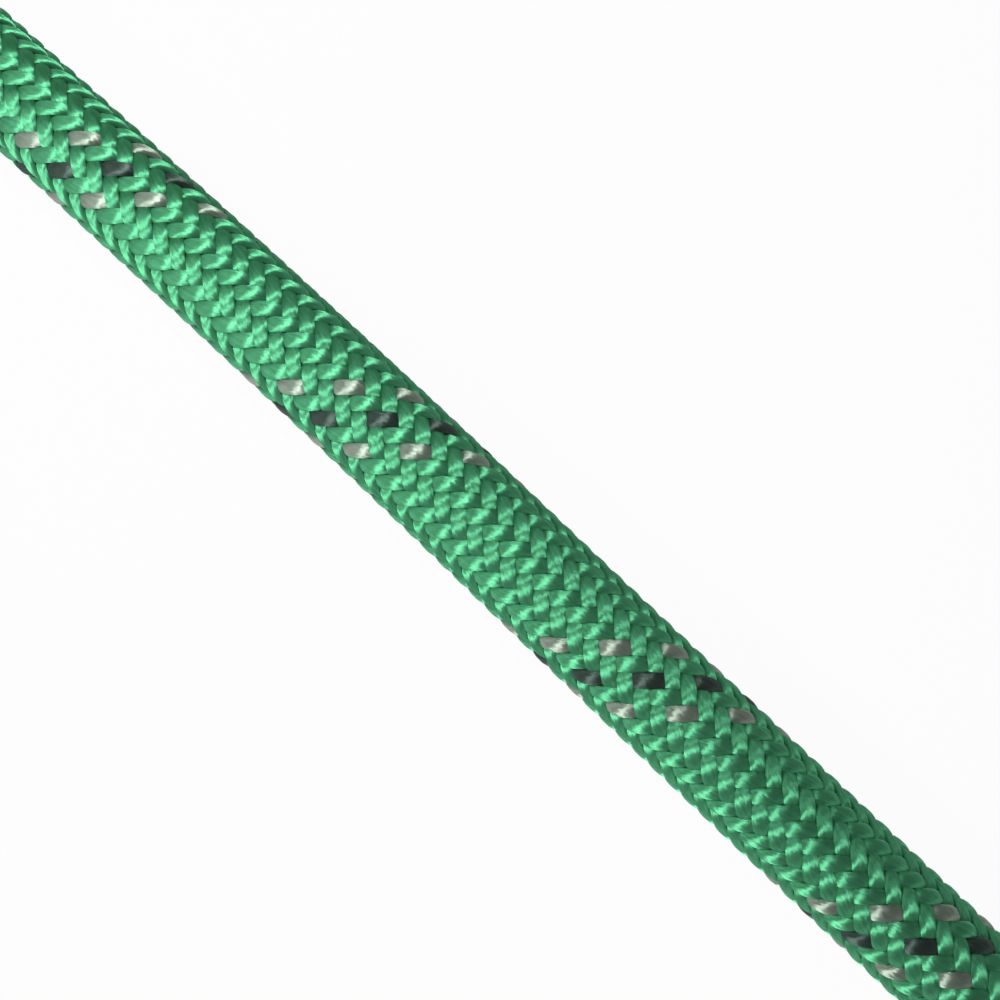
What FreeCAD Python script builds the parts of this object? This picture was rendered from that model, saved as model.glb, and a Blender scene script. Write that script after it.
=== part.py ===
import FreeCAD, Part

import math
import os

import Sketcher
from FreeCAD import Placement, Rotation, Vector

# A dynamic climbing rope of single-rope thickness, 60 m long. One end lies free on the floor
# and the rest is wound into a coil, which four straps hold. Millimetres, +Z up, the floor at z = 0
# and the origin under the middle of the whole rope.

# Driving sizes, each with its own cell in the sheet.
SIZES = (
    # the rope itself: a braided sheath round a core of twisted strands
    ("rope_diameter", 9.8),
    ("sheath_wall", 1.1),
    ("core_clearance", 0.05),
    # the coil: upright layers of turns, nested like stacked pipes, on a flat bottom
    ("turn_gap", 0.2),
    ("coil_outer_radius", 159.0),
    ("coil_layers", 11),
    ("coil_side_turns", 7),
    ("coil_shoulder_layers", 4),
    ("groove_clearance", 0.3),
    # the straps round the coil, each closed on itself by an overlap on top
    ("tie_width", 20.0),
    ("tie_thickness", 1.5),
    ("tie_clearance", 0.3),
    ("tie_overlap_thickness", 1.2),
    ("tie_overlap_length", 36.0),
    ("tie_overlap_margin", 1.5),
    # the finished ends: fused tips inside shrunk sleeves
    ("sleeve_length", 32.0),
    ("sleeve_wall", 0.5),
    ("sleeve_clearance", 0.05),
    ("sleeve_bevel", 0.3),
    ("tip_length", 2.6),
    ("tip_rim", 1.1),
    ("tip_bevel", 0.8),
    ("inner_end_length", 50.0),
)

# The free end's route, seen from above, from its tip to the place where it joins the coil.
ROUTE = (
    (136.5, -226.8),
    (65.2, -229.9),
    (13.9, -175.1),
    (-22.7, -134.6),
    (-70.0, -85.8),
    (-122.8, -26.9),
    (-139.7, 9.4),
)
ARC_SHARE = 0.45

# The straps' places round the coil, and the place of the rope's inner end, in degrees.
TIE_ANGLES = (10.0, 100.0, 190.0, 280.0)
INNER_END_ANGLE = 180.0

# Nested turns rise half a turn's pitch from one layer to the next, on a slope of 30 degrees.
NEST = math.sqrt(3) / 2
NEST_SLOPE = 30.0
NEST_RISE = math.tan(math.radians(NEST_SLOPE))
UP = Vector(0, 0, 1)

# The core: three strands in the middle and nine round them.
INNER_STRANDS = 3
OUTER_STRANDS = 9
OUTER_STRAND_TURN = 20.0
STRAND_SHARE = 0.2395
STRAND_SIDES = 6
THREAD_SIDES = 4

PITCH = "(Sizes.rope_diameter + Sizes.turn_gap)"
# A flat at 45 degrees that touches the rope's round section cuts this much off a square corner.
EDGE_CUT = "Sizes.rope_diameter * (1 - sqrt(0.5))"
SIDE_HEIGHT = (
    "Sizes.rope_diameter / 2 * (1 + tan(30 deg)) + (Sizes.coil_side_turns - 1) * " + PITCH
)
COIL_HEIGHT = (
    "Sizes.rope_diameter + (Sizes.coil_side_turns - 1 + Sizes.coil_shoulder_layers / 2) * "
    + PITCH
)
SEAT_RADIUS = "(Sizes.rope_diameter / 2 - Sizes.sleeve_wall - Sizes.sleeve_clearance)"
INNER_RADIUS = (
    "Sizes.coil_outer_radius - Sizes.rope_diameter"
    " - (Sizes.coil_layers - 1) * sqrt(3) / 2 * " + PITCH
)


def make_sheet(doc):
    sheet = doc.addObject("Spreadsheet::Sheet", "Sizes")
    for row, (alias, value) in enumerate(SIZES, start=1):
        sheet.set(f"A{row}", alias)
        sheet.set(f"B{row}", str(value))
        sheet.setAlias(f"B{row}", alias)
    doc.recompute()
    return sheet


class Coil:
    """The coil's derived sizes, in the floor plan and in its section."""

    def __init__(self, sheet):
        self.rope = sheet.rope_diameter
        self.pitch = sheet.rope_diameter + sheet.turn_gap
        self.outer = sheet.coil_outer_radius
        self.first_turn = self.outer - self.rope / 2
        self.last_turn = self.first_turn - (sheet.coil_layers - 1) * NEST * self.pitch
        self.inner = self.last_turn - self.rope / 2
        side_rows = (sheet.coil_side_turns - 1) * self.pitch
        self.shoulder = self.rope / 2 * (1 + NEST_RISE) + side_rows
        self.top_turn_height = self.rope / 2 + side_rows
        self.height = self.rope + side_rows + sheet.coil_shoulder_layers / 2 * self.pitch
        self.edge_cut = self.rope * (1 - math.sqrt(0.5))
        join = Vector(*ROUTE[-1], 0)
        before = Vector(*ROUTE[-2], 0)
        along = (join - before).normalize()
        inward = Vector(along.y, -along.x, 0)
        self.centre = join + inward * self.first_turn

    def corners(self):
        """The section's outline before its corners are cut, anticlockwise."""
        slope_run = (self.height - self.shoulder) / NEST_RISE
        return (
            Vector(self.inner, 0, 0),
            Vector(self.outer, 0, 0),
            Vector(self.outer, self.shoulder, 0),
            Vector(self.outer - slope_run, self.height, 0),
            Vector(self.inner + slope_run, self.height, 0),
            Vector(self.inner, self.shoulder, 0),
        )

    def at(self, angle, radius=0.0, height=0.0):
        """A point by its direction and distance from the coil's axis."""
        turn = math.radians(angle)
        return self.centre + Vector(radius * math.cos(turn), radius * math.sin(turn), height)


# Cord paths

def arc_corners(points):
    """For each inner point of a route: where its arc starts, its middle, its end and its centre."""
    found = []
    for before, here, after in zip(points, points[1:], points[2:]):
        back = before - here
        on = after - here
        shorter = min(back.Length, on.Length)
        turn = math.pi - back.getAngle(on)
        reach = ARC_SHARE * shorter
        radius = reach / math.tan(turn / 2)
        start = here + back.normalize() * reach
        end = here + on.normalize() * reach
        inward = (back + on).normalize()
        centre = here + inward * (radius / math.cos(turn / 2))
        found.append((start, centre - inward * radius, end, centre, radius))
    return found


def shifted(point, along, side, height):
    """A point moved to the left of the way the route goes there, and set at a height."""
    left = Vector(-along.y, along.x, 0)
    return Vector(point.x, point.y, height) + left * side


def route_wire(side, height):
    """The free end's path, or one beside it: straight runs joined by tangent arcs."""
    points = [Vector(x, y, 0) for x, y in ROUTE]
    ways = [(b - a).normalize() for a, b in zip(points, points[1:])]
    edges = []
    last = shifted(points[0], ways[0], side, height)
    for index, (start, middle, end, centre, radius) in enumerate(arc_corners(points)):
        way_in = ways[index]
        way_out = ways[index + 1]
        begin = shifted(start, way_in, side, height)
        finish = shifted(end, way_out, side, height)
        left_turn = way_in.cross(way_out).z > 0
        beside = radius - side if left_turn else radius + side
        top = centre + (middle - centre).normalize() * beside
        edges.append(Part.LineSegment(last, begin).toShape())
        edges.append(Part.Arc(begin, Vector(top.x, top.y, height), finish).toShape())
        last = finish
    end = shifted(points[-1], ways[-1], side, height)
    edges.append(Part.LineSegment(last, end).toShape())
    return Part.Wire(edges), ways[0]


def compare_volume(rod, section, length):
    wanted = section * length
    if abs(rod.Volume / wanted - 1) > 0.01:
        raise RuntimeError(f"a rod's volume is {rod.Volume:.1f}, not {wanted:.1f}")


def round_rod(side, height, radius):
    """A round rod along the route, with its volume compared with its section and length."""
    path, way = route_wire(side, height)
    start = path.Vertexes[0].Point
    ring = Part.Wire([Part.Circle(start, way, radius).toShape()])
    rod = path.makePipeShell([ring], True, False)
    compare_volume(rod, math.pi * radius**2, path.Length)
    return rod


def flattened_rod(side, height, radius, sides):
    """A rod along the route whose round section is pressed into a polygon by its neighbours."""
    path, way = route_wire(side, height)
    start = path.Vertexes[0].Point
    left = Vector(-way.y, way.x, 0)
    corners = []
    for number in range(sides + 1):
        turn = 2 * math.pi * (number + 0.5) / sides
        corners.append(start + left * radius * math.cos(turn) + UP * radius * math.sin(turn))
    ring = Part.makePolygon(corners)
    rod = path.makePipeShell([ring], True, False)
    section = sides / 2 * radius**2 * math.sin(2 * math.pi / sides)
    compare_volume(rod, section, path.Length)
    return rod


def print_route():
    points = [Vector(x, y, 0) for x, y in ROUTE]
    path, _ = route_wire(0, 0)
    radii = [round(corner[4], 1) for corner in arc_corners(points)]
    print(f"free end: {path.Length:.1f} mm long, arc radii {radii}")


def feature(doc, label, shape):
    obj = doc.addObject("Part::Feature", label)
    obj.Label = label
    obj.Shape = shape
    return obj


# The free end

def make_sheath(doc, sheet):
    """The free end's sheath, as the tube that its braid fills, squeezed under its sleeve."""
    height = sheet.rope_diameter / 2
    outside = feature(doc, "SheathOutside", round_rod(0, height, height))
    bore = feature(doc, "SheathBore", round_rod(0, height, height - sheet.sheath_wall))
    tube = doc.addObject("Part::Cut", "SheathTube")
    tube.Base = outside
    tube.Tool = bore
    tip_point, inward = free_end(sheet)
    seat = []
    for name, expression in (
        ("SleeveSeatOutside", "Sizes.rope_diameter"),
        ("SleeveSeatInside", SEAT_RADIUS),
    ):
        part = doc.addObject("Part::Cylinder", name)
        part.setExpression("Radius", expression)
        part.setExpression(
            "Height", "Sizes.sleeve_length - Sizes.tip_rim + 2 * Sizes.sleeve_clearance"
        )
        start = tip_point - inward * sheet.sleeve_clearance
        part.Placement = lay_along(start, inward)
        seat.append(part)
    ring = doc.addObject("Part::Cut", "SleeveSeat")
    ring.Base = seat[0]
    ring.Tool = seat[1]
    sheath = doc.addObject("Part::Cut", "sheath")
    sheath.Label = "sheath"
    sheath.Base = tube
    sheath.Tool = ring
    return sheath


def strand_places(sheet):
    """The core strands' radius, and each one's place in the rope's section."""
    bore = sheet.rope_diameter / 2 - sheet.sheath_wall
    radius = STRAND_SHARE * (bore - sheet.core_clearance)
    outer_ring = bore - sheet.core_clearance - radius
    inner_ring = (radius + sheet.core_clearance / 2) * 2 / math.sqrt(3)
    places = []
    for number in range(INNER_STRANDS):
        places.append((inner_ring, 90 + number * 360 / INNER_STRANDS))
    for number in range(OUTER_STRANDS):
        angle = 90 + OUTER_STRAND_TURN + number * 360 / OUTER_STRANDS
        places.append((outer_ring, angle))
    return radius, inner_ring, places


def make_core(doc, sheet):
    """Twelve core strands and the thin marker thread that runs between the middle three."""
    middle = sheet.rope_diameter / 2
    radius, inner_ring, places = strand_places(sheet)
    made = []
    for number, (reach, angle) in enumerate(places, start=1):
        turn = math.radians(angle)
        side = reach * math.cos(turn)
        height = middle + reach * math.sin(turn)
        rod = flattened_rod(side, height, radius, STRAND_SIDES)
        made.append(feature(doc, f"core_strand_{number:02d}", rod))
    thread = inner_ring - radius - sheet.core_clearance / 2
    rod = flattened_rod(0, middle, thread, THREAD_SIDES)
    made.append(feature(doc, "marker_thread", rod))
    return made


# The coil

def name_size(sketch, constraint, name, expression):
    """Adds a size to a sketch and binds it to the sheet."""
    index = sketch.addConstraint(constraint)
    sketch.renameConstraint(index, name)
    sketch.setExpression(f"Constraints.{name}", expression)


def make_section(doc, coil):
    """The coil's section: a flat bottom, upright sides and two slopes up to a flat top."""
    sketch = doc.addObject("Sketcher::SketchObject", "CoilSection")
    sketch.Placement = Placement(Vector(), Rotation(Vector(1, 0, 0), 90))
    corners = coil.corners()
    count = len(corners)
    ends = []
    for index, corner in enumerate(corners):
        back = (corners[index - 1] - corner).normalize()
        on = (corners[(index + 1) % count] - corner).normalize()
        ends.append((corner + back * coil.edge_cut, corner + on * coil.edge_cut))
    for index in range(count):
        following = ends[(index + 1) % count]
        sketch.addGeometry(Part.LineSegment(ends[index][1], following[0]), False)
    for begin, end in ends:
        sketch.addGeometry(Part.LineSegment(begin, end), False)
    marks = [sketch.addGeometry(Part.Point(corner), True) for corner in corners]
    bottom, outer_side, outer_slope, top, inner_slope, inner_side = range(count)
    for index, mark in enumerate(marks):
        side_in = (index - 1) % count
        side_out = index
        cut = count + index
        sketch.addConstraint(Sketcher.Constraint("Coincident", side_in, 2, cut, 1))
        sketch.addConstraint(Sketcher.Constraint("Coincident", cut, 2, side_out, 1))
        sketch.addConstraint(Sketcher.Constraint("PointOnObject", mark, 1, side_in))
        sketch.addConstraint(Sketcher.Constraint("PointOnObject", mark, 1, side_out))
        for end in (1, 2):
            size = Sketcher.Constraint("Distance", mark, 1, cut, end, coil.edge_cut)
            name_size(sketch, size, f"corner_{index + 1}_cut_{end}", EDGE_CUT)
    sketch.addConstraint(Sketcher.Constraint("PointOnObject", bottom, 1, -1))
    sketch.addConstraint(Sketcher.Constraint("Horizontal", bottom))
    sketch.addConstraint(Sketcher.Constraint("Horizontal", top))
    sketch.addConstraint(Sketcher.Constraint("Vertical", outer_side))
    sketch.addConstraint(Sketcher.Constraint("Vertical", inner_side))
    size = Sketcher.Constraint("DistanceX", -1, 1, outer_side, 1, coil.outer)
    name_size(sketch, size, "outer_radius", "Sizes.coil_outer_radius")
    size = Sketcher.Constraint("DistanceX", -1, 1, inner_side, 1, coil.inner)
    name_size(sketch, size, "inner_radius", INNER_RADIUS)
    size = Sketcher.Constraint("DistanceY", -1, 1, top, 1, coil.height)
    name_size(sketch, size, "height", COIL_HEIGHT)
    for name, mark in (("outer_side_height", marks[2]), ("inner_side_height", marks[5])):
        size = Sketcher.Constraint("DistanceY", -1, 1, mark, 1, coil.shoulder)
        name_size(sketch, size, name, SIDE_HEIGHT)
    corner_angle = math.pi - math.radians(NEST_SLOPE)
    for before, after in ((top, outer_slope), (inner_slope, top)):
        angle = Sketcher.Constraint("Angle", before, 1, after, 2, corner_angle)
        sketch.addConstraint(angle)
    return sketch


def make_tie_channels(doc, sheet, coil, section, tie_places):
    """What the straps press out of the coil: all of its section outside their inner faces."""
    kept = doc.addObject("Part::Offset2D", "ChannelOutline")
    kept.Source = section
    kept.setExpression("Value", "-(Sizes.tie_thickness + Sizes.tie_clearance)")
    channels = []
    for number, placement in enumerate(tie_places, start=1):
        around = doc.addObject("Part::Box", f"ChannelBlock{number}")
        middle = doc.addObject("Part::Extrusion", f"ChannelMiddle{number}")
        middle.Base = kept
        middle.DirMode = "Custom"
        middle.Dir = Vector(0, 1, 0)
        middle.Solid = True
        margin = 2 * coil.rope
        around.setExpression("Length", f"Sizes.coil_outer_radius - ({INNER_RADIUS}) + {2 * margin}")
        around.setExpression("Width", "Sizes.tie_width + 2 * Sizes.tie_clearance")
        around.setExpression("Height", f"{COIL_HEIGHT} + {2 * margin}")
        for side in ("LengthFwd", "LengthRev"):
            middle.setExpression(side, "Sizes.tie_width / 2 + Sizes.rope_diameter")
        side = sheet.tie_width / 2 + sheet.tie_clearance
        corner = Placement(Vector(coil.inner - margin, -side, -margin), Rotation())
        around.Placement = placement.multiply(corner)
        middle.Placement = placement
        channel = doc.addObject("Part::Cut", f"Channel{number}")
        channel.Base = around
        channel.Tool = middle
        channels.append(channel)
    return channels


def make_coil(doc, sheet, coil, section, channels):
    """The wound turns as one solid, with the free end's groove and the inner end's notch."""
    turns = doc.addObject("Part::Revolution", "CoilTurns")
    turns.Source = section
    turns.Axis = Vector(0, 0, 1)
    turns.Base = Vector()
    turns.Angle = 360
    turns.Solid = True
    turns.Placement = Placement(coil.centre, Rotation())
    middle = sheet.rope_diameter / 2
    groove = round_rod(0, middle, middle + sheet.groove_clearance)
    groove_object = feature(doc, "TailGroove", groove)
    notch = doc.addObject("Part::Torus", "InnerEndNotch")
    notch.Radius1 = coil.last_turn
    notch.setExpression("Radius2", "Sizes.rope_diameter / 2 + Sizes.groove_clearance")
    length = sheet.inner_end_length + sheet.tip_length + sheet.groove_clearance
    sweep = math.degrees(length / coil.last_turn)
    notch.Angle3 = sweep
    notch.Placement = end_place(coil, INNER_END_ANGLE - sweep)
    tools = doc.addObject("Part::MultiFuse", "CoilTools")
    tools.Shapes = [groove_object, notch, *channels]
    result = doc.addObject("Part::Cut", "coil")
    result.Label = "coil"
    result.Base = turns
    result.Tool = tools
    return result


def make_ties(doc, sheet, coil, section, tie_places):
    """The straps: closed bands flush with the coil's outline, with an overlap on top."""
    band = doc.addObject("Part::Offset2D", "TieBand")
    band.Source = section
    band.Fill = True
    band.setExpression("Value", "-Sizes.tie_thickness")
    lap_band = doc.addObject("Part::Offset2D", "LapBand")
    lap_band.Source = section
    lap_band.Fill = True
    lap_band.setExpression("Value", "Sizes.tie_overlap_thickness")
    slope_run = (coil.height - coil.shoulder) / NEST_RISE
    made = []
    for number, placement in enumerate(tie_places, start=1):
        loop = doc.addObject("Part::Extrusion", f"TieLoop{number}")
        loop.Base = band
        loop.DirMode = "Custom"
        loop.Dir = Vector(0, 1, 0)
        loop.Solid = True
        for side in ("LengthFwd", "LengthRev"):
            loop.setExpression(side, "Sizes.tie_width / 2")
        loop.Placement = placement
        lap = doc.addObject("Part::Extrusion", f"TieLap{number}")
        lap.Base = lap_band
        lap.DirMode = "Custom"
        lap.Dir = Vector(0, 1, 0)
        lap.Solid = True
        for side in ("LengthFwd", "LengthRev"):
            lap.setExpression(side, "Sizes.tie_width / 2 - Sizes.tie_overlap_margin")
        lap.Placement = placement
        block = doc.addObject("Part::Box", f"TieLapBlock{number}")
        block.setExpression("Length", "Sizes.tie_overlap_length")
        block.setExpression("Width", "Sizes.tie_width")
        block.setExpression("Height", COIL_HEIGHT)
        start = coil.outer - slope_run - sheet.tie_overlap_length / 2
        corner = Placement(Vector(start, -sheet.tie_width / 2, coil.shoulder), Rotation())
        block.Placement = placement.multiply(corner)
        overlap = doc.addObject("Part::Common", f"TieOverlap{number}")
        overlap.Base = lap
        overlap.Tool = block
        tie = doc.addObject("Part::MultiFuse", f"coil_tie_{number}")
        tie.Label = f"coil_tie_{number}"
        tie.Shapes = [loop, overlap]
        made.append(tie)
    return made


# The finished ends

def lay_along(point, way):
    """A place whose +Z runs along a level direction."""
    return Placement(point, Rotation(Vector(0, 0, 1), way))


def end_place(coil, angle):
    """The place of a torus round the coil's axis at the inner end's height."""
    return Placement(coil.at(0, 0, coil.top_turn_height), Rotation(Vector(0, 0, 1), angle))


def xz_sketch(body, name):
    sketch = body.newObject("Sketcher::SketchObject", name)
    plane = next(o for o in body.Origin.OriginFeatures if o.Role == "XZ_Plane")
    sketch.AttachmentSupport = [(plane, "")]
    sketch.MapMode = "FlatFace"
    return sketch


def add_outline(sketch, corners):
    """A closed outline of straight lines, each joined to the next."""
    for index, corner in enumerate(corners):
        following = corners[(index + 1) % len(corners)]
        sketch.addGeometry(Part.LineSegment(corner, following), False)
    for line in range(len(corners)):
        following = (line + 1) % len(corners)
        sketch.addConstraint(Sketcher.Constraint("Coincident", line, 2, following, 1))


def revolve(body, sketch):
    turned = body.newObject("PartDesign::Revolution", sketch.Name + "Turned")
    turned.Profile = sketch
    turned.ReferenceAxis = (sketch, ["V_Axis"])
    turned.Angle = 360
    body.Tip = turned


def free_end(sheet):
    """Where the free end's strands stop, and the direction in which they run back."""
    height = sheet.rope_diameter / 2
    point = Vector(*ROUTE[0], height)
    inward = (Vector(*ROUTE[1], height) - point).normalize()
    return point, inward


def seat_radius(sheet):
    """The squeezed rope's radius inside a sleeve."""
    return sheet.rope_diameter / 2 - sheet.sleeve_wall - sheet.sleeve_clearance


def make_tip(doc, sheet, label, placement):
    """A fused end: a short round rim and a flat face with a bevelled edge, outward along +Z."""
    body = doc.addObject("PartDesign::Body", label)
    body.Label = label
    sketch = xz_sketch(body, label + "_profile")
    radius = seat_radius(sheet)
    rim = sheet.tip_rim
    top = sheet.tip_length
    bevel = sheet.tip_bevel
    corners = (
        Vector(0, 0, 0),
        Vector(radius, 0, 0),
        Vector(radius, rim, 0),
        Vector(radius - bevel, top, 0),
        Vector(0, top, 0),
    )
    add_outline(sketch, corners)
    sketch.addConstraint(Sketcher.Constraint("Coincident", 0, 1, -1, 1))
    sketch.addConstraint(Sketcher.Constraint("Horizontal", 0))
    sketch.addConstraint(Sketcher.Constraint("Vertical", 1))
    sketch.addConstraint(Sketcher.Constraint("Horizontal", 3))
    sketch.addConstraint(Sketcher.Constraint("Vertical", 4))
    size = Sketcher.Constraint("DistanceX", 0, 1, 0, 2, radius)
    name_size(sketch, size, "radius", SEAT_RADIUS)
    size = Sketcher.Constraint("DistanceY", 1, 1, 1, 2, rim)
    name_size(sketch, size, "rim", "Sizes.tip_rim")
    size = Sketcher.Constraint("DistanceX", 2, 2, 2, 1, bevel)
    name_size(sketch, size, "bevel", "Sizes.tip_bevel")
    size = Sketcher.Constraint("DistanceY", 4, 2, 4, 1, top)
    name_size(sketch, size, "top", "Sizes.tip_length")
    revolve(body, sketch)
    body.Placement = placement
    return body


def make_straight_sleeve(doc, sheet, label, placement):
    """A shrunk sleeve on a straight end, thinned to its edge where it meets bare rope, at +Z."""
    body = doc.addObject("PartDesign::Body", label)
    body.Label = label
    sketch = xz_sketch(body, label + "_profile")
    outer = sheet.rope_diameter / 2
    inner = outer - sheet.sleeve_wall
    length = sheet.sleeve_length
    bevel = sheet.sleeve_bevel
    corners = (
        Vector(inner, 0, 0),
        Vector(outer, 0, 0),
        Vector(outer, length - bevel, 0),
        Vector(outer - bevel, length, 0),
        Vector(inner, length, 0),
    )
    add_outline(sketch, corners)
    sketch.addConstraint(Sketcher.Constraint("PointOnObject", 0, 1, -1))
    sketch.addConstraint(Sketcher.Constraint("Horizontal", 0))
    sketch.addConstraint(Sketcher.Constraint("Vertical", 1))
    sketch.addConstraint(Sketcher.Constraint("Horizontal", 3))
    sketch.addConstraint(Sketcher.Constraint("Vertical", 4))
    size = Sketcher.Constraint("DistanceX", -1, 1, 0, 2, outer)
    name_size(sketch, size, "outside", "Sizes.rope_diameter / 2")
    size = Sketcher.Constraint("DistanceX", 0, 1, 0, 2, outer - inner)
    name_size(sketch, size, "wall", "Sizes.sleeve_wall")
    size = Sketcher.Constraint("DistanceY", 0, 1, 3, 2, length)
    name_size(sketch, size, "length", "Sizes.sleeve_length")
    size = Sketcher.Constraint("DistanceX", 2, 2, 2, 1, bevel)
    name_size(sketch, size, "bevel_width", "Sizes.sleeve_bevel")
    size = Sketcher.Constraint("DistanceY", 2, 1, 2, 2, bevel)
    name_size(sketch, size, "bevel_length", "Sizes.sleeve_bevel")
    revolve(body, sketch)
    body.Placement = placement
    return body


def make_free_end(doc, sheet):
    """The free end's fused tip and its sleeve, which covers the tip's rim."""
    tip_point, inward = free_end(sheet)
    tip = make_tip(doc, sheet, "free_end_tip", lay_along(tip_point, -inward))
    start = tip_point - inward * sheet.tip_rim
    sleeve = make_straight_sleeve(doc, sheet, "free_end_sleeve", lay_along(start, inward))
    return [tip, sleeve]


def make_inner_end(doc, sheet, coil):
    """The coil's other end: a short length of the last turn, its sleeve and its fused tip."""
    radius = coil.last_turn
    sweep = math.degrees(sheet.inner_end_length / radius)
    last = INNER_END_ANGLE - sweep
    covered = math.degrees((sheet.sleeve_length - sheet.tip_rim) / radius)
    play = math.degrees(sheet.sleeve_clearance / radius)
    shells = []
    for name, expression, start, end in (
        ("InnerEndBare", "Sizes.rope_diameter / 2", covered + play, sweep),
        ("InnerEndCovered", SEAT_RADIUS, 0, covered + play),
        ("InnerSleeveOutside", "Sizes.rope_diameter / 2", 0, covered),
        ("InnerSleeveBore", "Sizes.rope_diameter / 2 - Sizes.sleeve_wall", 0, covered),
    ):
        shell = doc.addObject("Part::Torus", name)
        shell.Radius1 = radius
        shell.setExpression("Radius2", expression)
        shell.Angle3 = end - start
        shell.Placement = end_place(coil, last + start)
        shells.append(shell)
    bare, covered_rope, outside, bore = shells
    rope = doc.addObject("Part::MultiFuse", "inner_end_rope")
    rope.Label = "inner_end_rope"
    rope.Shapes = [bare, covered_rope]
    sleeve = doc.addObject("Part::Cut", "inner_end_sleeve")
    sleeve.Label = "inner_end_sleeve"
    sleeve.Base = outside
    sleeve.Tool = bore
    turn = math.radians(last)
    way = Vector(math.sin(turn), -math.cos(turn), 0)
    place = lay_along(coil.at(last, radius, coil.top_turn_height), way)
    tip = make_tip(doc, sheet, "inner_end_tip", place)
    return [rope, sleeve, tip]


def check(doc, nodes):
    for obj in doc.Objects:
        if "Invalid" in obj.State or "Error" in obj.State:
            raise RuntimeError(f"{obj.Label} is {obj.State}")
    for node in nodes:
        if node.Shape.isNull() or not node.Shape.isValid() or node.Shape.Volume <= 0:
            raise RuntimeError(f"{node.Label} has no valid solid")


def main():
    doc = FreeCAD.newDocument("ClimbingRope")
    sheet = make_sheet(doc)
    coil = Coil(sheet)
    tie_places = [
        Placement(coil.centre, Rotation(Vector(0, 0, 1), angle)) for angle in TIE_ANGLES
    ]
    section = make_section(doc, coil)
    channels = make_tie_channels(doc, sheet, coil, section, tie_places)
    nodes = [make_coil(doc, sheet, coil, section, channels)]
    nodes += make_ties(doc, sheet, coil, section, tie_places)
    nodes.append(make_sheath(doc, sheet))
    nodes += make_core(doc, sheet)
    nodes += make_free_end(doc, sheet)
    nodes += make_inner_end(doc, sheet, coil)
    doc.recompute()
    check(doc, nodes)
    print_route()
    os.makedirs("parts", exist_ok=True)
    for node in nodes:
        node.Shape.exportStep(f"parts/{node.Label}.step")
        print(f"{node.Label}: {node.Shape.Volume:.1f} cubic mm")


main()
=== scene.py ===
import math

import bpy
import numpy as np
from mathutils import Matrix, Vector


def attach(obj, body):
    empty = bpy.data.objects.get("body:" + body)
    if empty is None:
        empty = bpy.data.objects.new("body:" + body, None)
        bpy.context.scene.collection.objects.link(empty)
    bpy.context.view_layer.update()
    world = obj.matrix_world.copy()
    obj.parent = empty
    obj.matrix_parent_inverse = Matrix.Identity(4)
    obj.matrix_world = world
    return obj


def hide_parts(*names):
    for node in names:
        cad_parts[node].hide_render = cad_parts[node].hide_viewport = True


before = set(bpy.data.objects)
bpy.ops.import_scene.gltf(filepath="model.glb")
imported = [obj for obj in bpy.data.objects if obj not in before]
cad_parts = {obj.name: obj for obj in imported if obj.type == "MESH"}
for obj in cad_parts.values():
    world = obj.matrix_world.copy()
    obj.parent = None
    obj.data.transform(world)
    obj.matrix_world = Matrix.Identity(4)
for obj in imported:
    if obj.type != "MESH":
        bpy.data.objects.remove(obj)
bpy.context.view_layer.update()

# A dynamic climbing rope: a braided sheath of 32 strands over a core of twisted strands. One end lies
# free on the floor, and the rest is wound in a coil that four straps hold. Metres, the floor at z = 0.

MM = 0.001
UP = np.array([0.0, 0.0, 1.0])

# The rope
ROPE_DIAMETER = 9.8 * MM
ROPE_RADIUS = ROPE_DIAMETER / 2

# The free end's route on the floor, from its tip to the coil, as in the solids.
ROUTE = [
    (136.5 * MM, -226.8 * MM),
    (65.2 * MM, -229.9 * MM),
    (13.9 * MM, -175.1 * MM),
    (-22.7 * MM, -134.6 * MM),
    (-70.0 * MM, -85.8 * MM),
    (-122.8 * MM, -26.9 * MM),
    (-139.7 * MM, 9.4 * MM),
]

# The coil: how high each layer of turns reaches, in rows, from the outside in.
LAYER_TOPS = (6, 6.5, 7, 7.5, 8, 7.5, 8, 7.5, 7, 6.5, 6)
TURN_PITCH = 10.0 * MM
LAYER_PITCH = TURN_PITCH * math.sqrt(3) / 2
COIL_DEPTH = (len(LAYER_TOPS) - 1) * LAYER_PITCH
FIRST_TURN_RADIUS = 154.1 * MM
LAST_TURN_RADIUS = FIRST_TURN_RADIUS - COIL_DEPTH
COIL_MIDDLE = (
    FIRST_TURN_RADIUS - COIL_DEPTH / 2,
    ROPE_RADIUS + max(LAYER_TOPS) / 2 * TURN_PITCH,
)
COIL_START = 205.0
INNER_END_ANGLE = 180.0
INNER_END_LENGTH = 50.0 * MM
POINTS_PER_TURN = 36

# Each turn crosses over to the next between these angles, where the layers spread.
CROSSING = (262.0, 213.0)
CROSSING_SPREAD = 1.155
CROSSING_WIDTH = 22.0

# Single turns stray a little, except near the coil's two ends.
STRAY_SEED = 7
STRAY_POINTS = 900
STRAY_OUT = 0.22 * MM
STRAY_UP = 0.12 * MM
STRAY_MIDDLE = 0.3 * MM
CALM_TURNING = 120
CALM_END = 150

# The straps draw the turns together, less and less up to this many widths away.
TIE_ANGLES = (10.0, 100.0, 190.0, 280.0)
TIE_WIDTH = 20.0 * MM
TIE_THICKNESS = 1.5 * MM
TIE_SQUEEZE = 0.04
TIE_REACH = 1.2

# The braid: 16 strands run each way round, over two and under two.
STRANDS_EACH_WAY = 16
STRAND_STEP = 360.0 / STRANDS_EACH_WAY
STRANDS_PER_REPEAT = 4.0
REPEATS_PER_LEAD = 2 * STRANDS_EACH_WAY / STRANDS_PER_REPEAT
GREY_STRANDS = (0, 12)
CHARCOAL_STRANDS = (14,)
BRAID_LEAD = 32.0 * MM
BRAID_RADIUS = 4.33 * MM


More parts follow.
